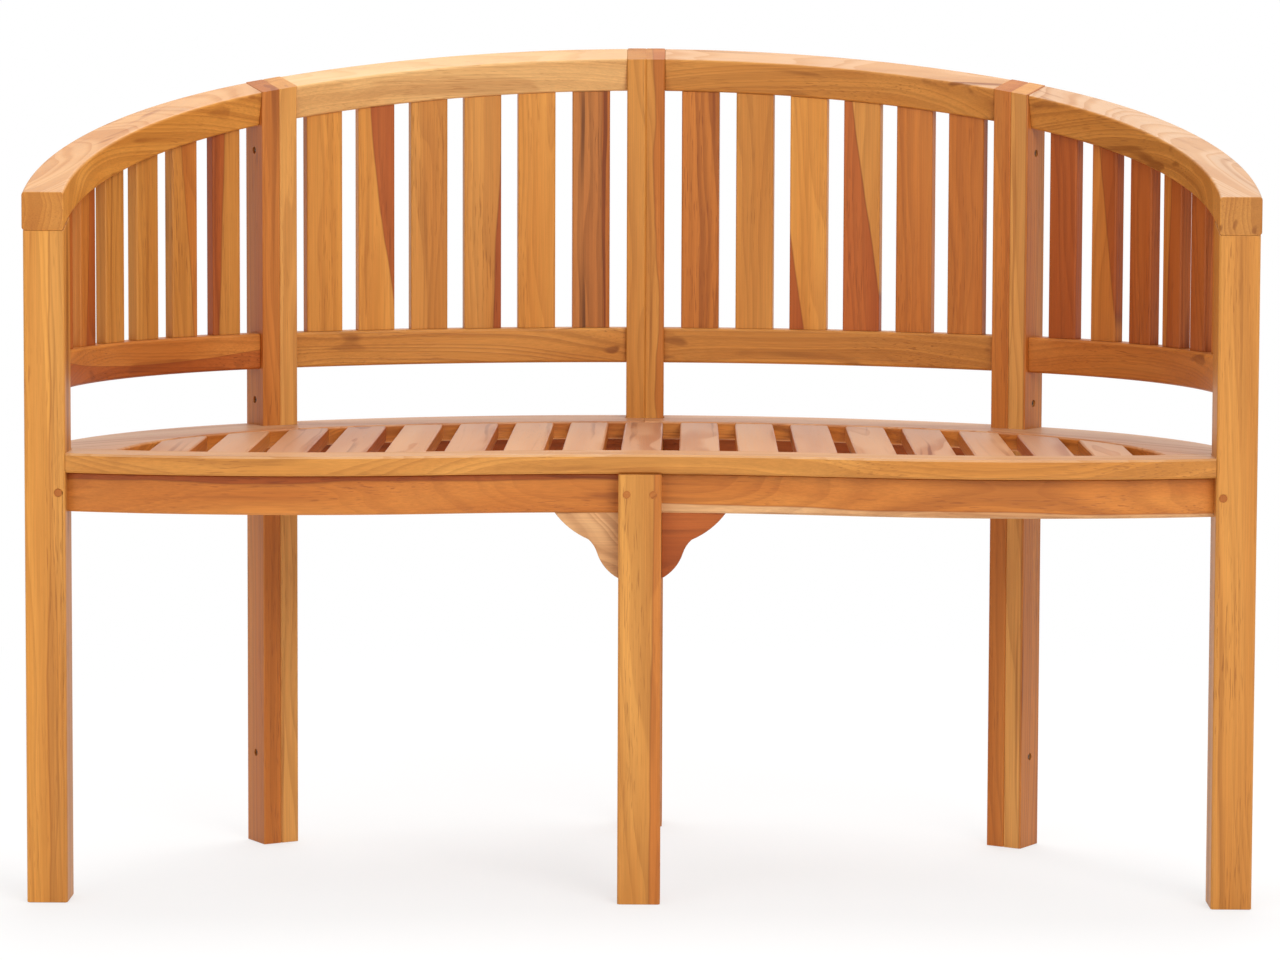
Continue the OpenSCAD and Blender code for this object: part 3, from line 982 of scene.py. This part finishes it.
@dataclass
class TopRail(SubAssembly):
    """The two bent arms and the two bent crest boards."""

    soften: float = 0.0011

    def boards(self) -> list[Board]:
        """Returns the four boards of the top rail."""
        return self.cut(Grain.CHORD, {
            "arm_left": Wood(
                Tone.GOLDEN, 41.7, pith_across=0.04, pith_through=-0.05, streaks=0.7,
                figure=0.34, bleach=0.46, roughness=0.40),
            "arm_right": Wood(
                Tone.AMBER, 44.2, pith_across=0.05, pith_through=-0.05, streaks=0.8,
                figure=0.36, bleach=0.78, roughness=0.40),
            # Its tone is lifted to make up for the weaker light on the down-tilted front of the
            # crest: partly painted light.
            "crest_left": Wood(
                Tone.BRIGHTENED_STRAW, 47.5, pith_through=-0.06, streaks=0.3, figure=0.24, bleach=0.35),
            "crest_right": Wood(
                Tone.AMBER, 52.3, pith_through=-0.05, streaks=0.9, figure=0.26, taper=0.06,
                bleach=0.6),
        })


@dataclass
class LowerRail(SubAssembly):
    """The four bent boards of the lower back rail."""

    def boards(self) -> list[Board]:
        """Returns the four boards of the lower rail."""
        return self.cut(Grain.CHORD, {
            "low_rail_side_left": Wood(
                Tone.RUSSET, 55.4, Border(Tone.HONEY, wander=0.006, tilt=-3.0)),
            "low_rail_back_left": Wood(
                Tone.AMBER, 58.8, streaks=0.9, figure=0.36, taper=-0.10),
            "low_rail_back_right": Wood(Tone.AMBER, 62.6, streaks=0.8, figure=0.18),
            "low_rail_side_right": Wood(Tone.HONEY, 66.9, streaks=0.7),
        })


@dataclass
class BackSlats(SubAssembly):
    """The 24 upright slats of the back, six in each panel."""

    soften: float = 0.0005

    def boards(self) -> list[Board]:
        """Returns the slats, counted from the post in each panel."""
        return self.cut(Grain.UPRIGHT, {
            f"{panel}_{count}": finish for panel, finishes in self.panels().items()
            for count, finish in enumerate(finishes, start=1)})

    def panels(self) -> dict[str, tuple[Wood, ...]]:
        """Returns the finishes of the slats in each panel."""
        return {
            "side_slat_left": (
                Wood(Tone.AMBER, 101.3, Border(Tone.RUSSET, -0.006, 0.04, side=-1.0)),
                Wood(Tone.AMBER, 103.1, Border(Tone.HONEY, 0.004, -0.08), streaks=0.7),
                Wood(Tone.AMBER, 105.7, streaks=0.6),
                Wood(Tone.AMBER, 107.2),
                Wood(Tone.HONEY, 109.9, Border(Tone.RUSSET, 0.0, 0.05)),
                Wood(Tone.RUSSET, 111.4, streaks=0.6)),
            "back_slat_left": (
                Wood(Tone.UMBER, 121.8, Border(Tone.HONEY, 0.012, -0.01, wander=0.005),
                     streaks=1.0, figure=0.32, taper=0.0),
                Wood(Tone.GOLDEN, 123.5),
                Wood(Tone.AMBER, 125.6, Border(Tone.RUSSET, 0.017, 0.05), streaks=0.9),
                Wood(Tone.AMBER, 127.3, streaks=0.4),
                Wood(Tone.GOLDEN, 129.8, Border(Tone.RUSSET, 0.006, -0.115, wander=0.009)),
                Wood(Tone.GOLDEN, 131.1, streaks=0.7)),
            "back_slat_right": (
                Wood(Tone.HONEY, 141.6, streaks=0.8, figure=0.4, taper=0.0),
                Wood(Tone.AMBER, 143.9),
                Wood(Tone.GOLDEN, 145.2, Border(Tone.RUSSET, -0.0225, -0.15, side=-1.0,
                                                wander=0.002), streaks=0.3),
                Wood(Tone.RUSSET, 147.7, Border(Tone.AMBER, 0.0065, -0.146, wander=0.003)),
                Wood(Tone.HONEY, 149.4),
                Wood(Tone.HONEY, 151.8, streaks=0.8)),
            "side_slat_right": (
                Wood(Tone.RUSSET, 161.3, streaks=0.4),
                Wood(Tone.HONEY, 163.6, Border(Tone.RUSSET, 0.006, -0.13, wander=0.003)),
                Wood(Tone.RUSSET, 165.2, streaks=0.9),
                Wood(Tone.RUSSET, 167.8, Border(Tone.HONEY, -0.004, 0.04, side=-1.0)),
                Wood(Tone.RUSSET, 169.1, streaks=0.9),
                Wood(Tone.HONEY, 171.4, streaks=0.8)),
        }


@dataclass
class Seat(SubAssembly):
    """The seat rails and the row of slats between them.

    Attributes:
        slat_pitch: Spacing of the seat slats, in metres.
        bleach: Strength of the paler look on the seat, partly paling and partly painted sheen, 0
            to 1.
    """

    slat_pitch: float = 0.058
    bleach: float = 0.62

    def boards(self) -> list[Board]:
        """Returns the five rails and the node that holds all the slats."""
        bent = {"seat_back_rail_left": 74.1, "seat_back_rail_right": 76.8,
                "seat_side_rail_left": 79.3, "seat_side_rail_right": 82.5}
        return [
            *self.cut(Grain.RAIL, {"seat_front_rail": Wood(
                Tone.AMBER, 71.2, pith_through=-0.05, streaks=0.45, figure=0.26,
                bleach=self.bleach)}),
            *self.cut(Grain.CHORD, {name: Wood(
                Tone.HONEY, seed, streaks=0.7, figure=0.34, bleach=self.bleach)
                for name, seed in bent.items()}),
            *self.cut(Grain.SLATS, {"seat_slats": Wood(
                Tone.HONEY, 85.4, pith_across=0.01, streaks=0.8, figure=0.36,
                bleach=self.bleach, row_pitch=self.slat_pitch)}),
        ]


@dataclass
class UnderFrame(SubAssembly):
    """The aprons, the bearer and the two scrolled brackets under the seat."""

    def boards(self) -> list[Board]:
        """Returns the boards under the seat."""
        bent = {"side_apron_left": 91.1, "side_apron_right": 92.6,
                "rear_apron_left": 94.3, "rear_apron_right": 95.8}
        return [
            *self.cut(Grain.FACE, {
                "front_apron_left": Wood(
                    Tone.HONEY, 87.3, Border(Tone.RUSSET, 0.012, wander=0.006), figure=0.12),
                "front_apron_right": Wood(
                    Tone.HONEY, 89.9, Border(Tone.PALE, -0.013, -0.010, side=-1.0, wander=0.003),
                    streaks=0.8, figure=0.2),
                "bracket_left": Wood(
                    Tone.PALE, 98.4, streaks=0.9, figure=0.4, pith_across=-0.03, taper=0.9),
                "bracket_right": Wood(Tone.RUSSET, 99.7, streaks=0.7, taper=-0.9)}),
            *self.cut(Grain.CHORD, {
                name: Wood(Tone.RUSSET, seed) for name, seed in bent.items()}),
            *self.cut(Grain.DEPTH, {"centre_bearer": Wood(Tone.RUSSET, 97.2)}),
        ]


@dataclass
class Fastenings(SubAssembly):
    """The wooden plugs in the legs and the screws in the posts.

    Attributes:
        screw: Finish of the screws.
    """

    soften: float = 0.0003
    screw: Steel = Steel()

    def boards(self) -> list[Board]:
        """Returns the plugs, whose end grain faces the front."""
        return self.cut(Grain.DEPTH, {"leg_plugs": Wood(
            Tone.HONEY, 181.7, ring_pitch=0.0012, pith_through=-0.01)})

    def dress(self, shelf: Shelf) -> None:
        """Dresses the plugs and the screws.

        Args:
            shelf: The shader groups.
        """
        super().dress(shelf)
        cover_node(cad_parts["post_screws"], self.screw.material("post_screws", shelf))
        LOG.info("post_screws dressed in steel")


def stand(name: str, data: bpy.types.ID) -> bpy.types.Object:
    """Makes an object of a lamp, camera or mesh and puts it in the scene.

    Args:
        name: Name of the object.
        data: The lamp, camera or mesh.

    Returns:
        The object.
    """
    placed = bpy.data.objects.new(name, data)
    bpy.context.scene.collection.objects.link(placed)
    return placed


@dataclass(frozen=True)
class Softbox:
    """A square lamp that looks at the bench.

    Attributes:
        name: Name of the lamp.
        place: Where it stands, in metres.
        size: Length of its side, in metres.
        power: Its power, in watts.
        tint: Its colour.
    """

    name: str
    place: tuple[float, float, float]
    size: float
    power: float
    tint: tuple[float, float, float] = (1.0, 1.0, 1.0)

    def build(self, aim: Vector) -> None:
        """Adds the lamp to the scene.

        Args:
            aim: The point that it looks at.
        """
        lamp = bpy.data.lights.new(self.name, "AREA")
        lamp.size = self.size
        lamp.energy = self.power
        lamp.color = self.tint
        holder = stand(self.name, lamp)
        holder.location = self.place
        holder.rotation_euler = (aim - Vector(self.place)).to_track_quat("-Z", "Y").to_euler()
        LOG.info("%s set", self.name)


@dataclass(frozen=True)
class Studio:
    """Pale floor, white surroundings and soft lamps.

    Attributes:
        sky: Strength of the soft light from overhead.
        horizon: Strength of the soft light from the sides.
        dawn: Heights, from -1 to 1, between which the light turns from horizon to sky.
        floor_size: Length of the floor's side, in metres.
        floor_gap: How far the floor lies below the feet, in metres.
        floor_tint: Shade of the floor.
        floor_roughness: Roughness of the floor.
        near: Distance from the middle where the floor starts to fade into white, in metres.
        far: Distance where it is all white, in metres.
        veil: Share of plain white that the floor shows near the bench.
        aim: The point that the lamps look at.
        lamps: The lamps.
    """

    sky: float = 0.80
    horizon: float = 0.20
    dawn: tuple[float, float] = (-0.1, 0.9)
    floor_size: float = 16.0
    floor_gap: float = 0.0005
    floor_tint: float = 0.90
    floor_roughness: float = 0.9
    near: float = 0.7
    far: float = 1.8
    veil: float = 0.66
    aim: tuple[float, float, float] = (0.0, 0.0, 0.45)
    lamps: tuple[Softbox, ...] = (
        Softbox("key_softbox", (1.8, -3.6, 2.6), 2.2, 92.0, (1.0, 0.985, 0.96)),
        Softbox("fill_softbox", (-2.4, -3.6, 1.8), 2.4, 29.0, (1.0, 0.99, 0.975)),
        Softbox("top_softbox", (0.1, 1.0, 3.4), 2.2, 62.0),
    )

    def seen(self, sheet: NodeSheet) -> Socket:
        """Tells the rays that look at the scene from those that light it.

        Args:
            sheet: The sheet of the world.

        Returns:
            1 for the camera's rays and for those that metal or glass throws back.
        """
        path = sheet.add("ShaderNodeLightPath").outputs
        mirrored = sheet.math("MAXIMUM", path["Is Glossy Ray"], path["Is Transmission Ray"])
        return sheet.math("MAXIMUM", path["Is Camera Ray"], mirrored)

    def build_world(self) -> None:
        """Makes the surroundings: plain light for the bench, white for the eye."""
        world = bpy.data.worlds.new("studio_world")
        world.use_nodes = True
        bpy.context.scene.world = world
        world.node_tree.nodes.clear()
        sheet = NodeSheet(world.node_tree)
        _, _, rise = sheet.split(sheet.add("ShaderNodeTexCoord").outputs["Generated"])
        strengths = (sheet.ramp(rise, *self.dawn, self.horizon, self.sky), 1.0)
        light, white = (sheet.add("ShaderNodeBackground", None, {
            "Color": WHITE, "Strength": strength}).outputs[0] for strength in strengths)
        mixed = sheet.add("ShaderNodeMixShader", None, {0: self.seen(sheet), 1: light, 2: white})
        sheet.add("ShaderNodeOutputWorld", None, {"Surface": mixed.outputs[0]})
        LOG.info("surroundings set")

    def floor_material(self) -> bpy.types.Material:
        """Makes the floor's material.

        Returns:
            The material, pale near the bench and fading into the white around it.
        """
        sheet = SurfaceSheet("pale_floor")
        sheet.set(Base_Color=(*[self.floor_tint] * 3, 1.0), Roughness=self.floor_roughness,
                  Specular_IOR_Level=0.0)
        where = sheet.add("ShaderNodeTexCoord").outputs["Object"]
        away = sheet.add("ShaderNodeVectorMath", {"operation": "LENGTH"},
                         {0: where}).outputs["Value"]
        share = sheet.times(self.seen(sheet), sheet.ramp(away, self.near, self.far, self.veil))
        white = sheet.add("ShaderNodeEmission", None, {"Color": WHITE, "Strength": 1.0})
        mixed = sheet.add("ShaderNodeMixShader", None, {
            0: share, 1: sheet.shader.outputs[0], 2: white.outputs[0]})
        sheet.feed(sheet.find("OUTPUT_MATERIAL").inputs["Surface"], mixed.outputs[0])
        return sheet.material

    def build_floor(self) -> None:
        """Lays the floor just under the feet."""
        half = self.floor_size / 2
        corners = [(-half, -half, 0.0), (half, -half, 0.0), (half, half, 0.0), (-half, half, 0.0)]
        mesh = bpy.data.meshes.new("studio_floor")
        mesh.from_pydata(corners, [], [(0, 1, 2, 3)])
        floor = stand("studio_floor", mesh)
        floor.location = (0.0, 0.0, -self.floor_gap)
        mesh.materials.append(self.floor_material())
        LOG.info("floor laid")

    def build(self) -> None:
        """Builds the floor, the surroundings and the lamps."""
        bpy.context.scene.view_settings.view_transform = "Standard"
        self.build_world()
        self.build_floor()
        for lamp in self.lamps:
            lamp.build(Vector(self.aim))


@dataclass(frozen=True)
class ViewCamera:
    """The camera, a little above the arms and square to the front of the bench.

    Attributes:
        place: Where it stands, in metres.
        yaw: Turn to the right, in radians.
        pitch: Tilt down, in radians.
        roll: Turn about its own line of sight, in radians.
        focal: Focal length in pixels of a picture that is width pixels wide.
        width: Width of the picture, in pixels.
        shift: Shift of the frame, in widths of the picture.
        sensor: Width of the sensor, in millimetres.
    """

    place: tuple[float, float, float] = (0.0476, -4.4413, 0.8378)
    yaw: float = -0.01137
    pitch: float = 0.07568
    roll: float = 0.0038
    focal: float = 4356.2
    width: int = 1280
    shift: float = -0.08
    sensor: float = 36.0

    def build(self) -> None:
        """Adds the camera and makes it the scene's own."""
        data = bpy.data.cameras.new("view_camera")
        data.sensor_width = self.sensor
        data.sensor_fit = "HORIZONTAL"
        data.lens = self.focal / self.width * self.sensor
        data.shift_y = self.shift
        data.dof.use_dof = False
        holder = stand("view_camera", data)
        turn = Matrix.Translation(self.place)
        for angle, axis in ((-self.yaw, "Z"), (math.pi / 2 - self.pitch, "X"), (self.roll, "Z")):
            turn @= Matrix.Rotation(angle, 4, axis)
        holder.matrix_world = turn
        bpy.context.scene.camera = holder
        LOG.info("camera set")


def main() -> None:
    """Builds the bench's looks in order and reports each piece."""
    logging.basicConfig(level=logging.INFO, format="%(message)s")
    shelf = build_groups()
    for part in (FrontLegs(), RearPosts(), TopRail(), LowerRail(), BackSlats(), Seat(),
                 UnderFrame(), Fastenings()):
        part.dress(shelf)
    Studio().build()
    ViewCamera().build()


if __name__ == "__main__":
    main()
